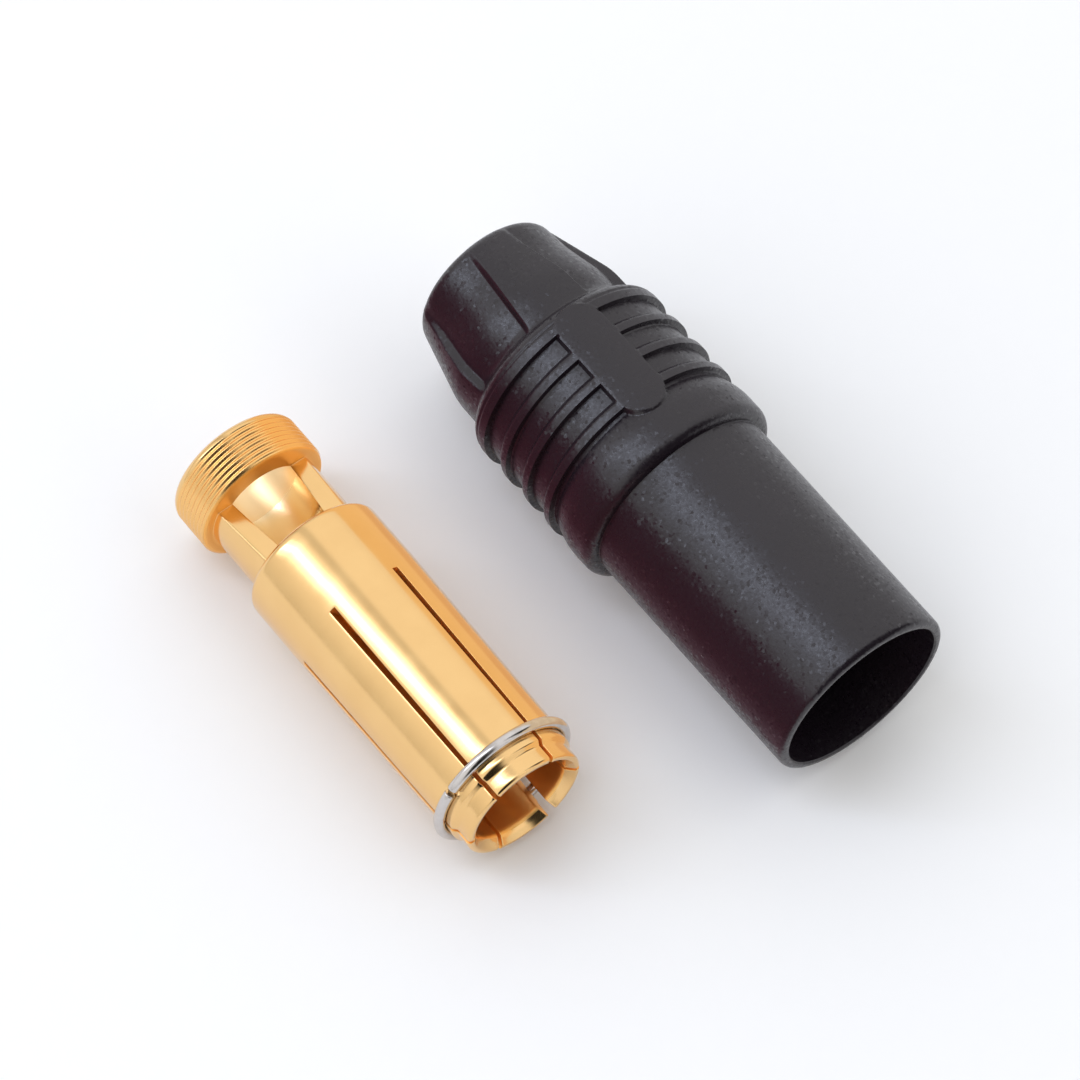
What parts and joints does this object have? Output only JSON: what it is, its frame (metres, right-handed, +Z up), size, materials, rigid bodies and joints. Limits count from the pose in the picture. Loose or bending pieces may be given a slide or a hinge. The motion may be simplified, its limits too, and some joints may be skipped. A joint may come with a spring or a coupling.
{
  "type": "high-current battery connector",
  "caption": "One half of a high-current battery connector, taken apart: a slotted gold-plated socket contact with a spring ring lies beside its ribbed black insulating sleeve.",
  "frame": {"origin": "on the floor between the two pieces that lie side by side, half the length of the housing ahead of the rear end of the contact", "axes": "+X along both pieces towards their mating mouths, +Y from the contact to the housing, +Z up"},
  "size_m": [0.0403, 0.0344, 0.0155],
  "materials": {
    "black_nylon": "moulded with a fine spark-eroded grain",
    "gold_plate": "turned brass with bright gold plating",
    "spring_steel": "drawn round wire, bright"
  },
  "bodies": {
    "root": {"housing": "black_nylon", "contact": "gold_plate", "spring_ring": "spring_steel"}
  },
  "joints": []
}
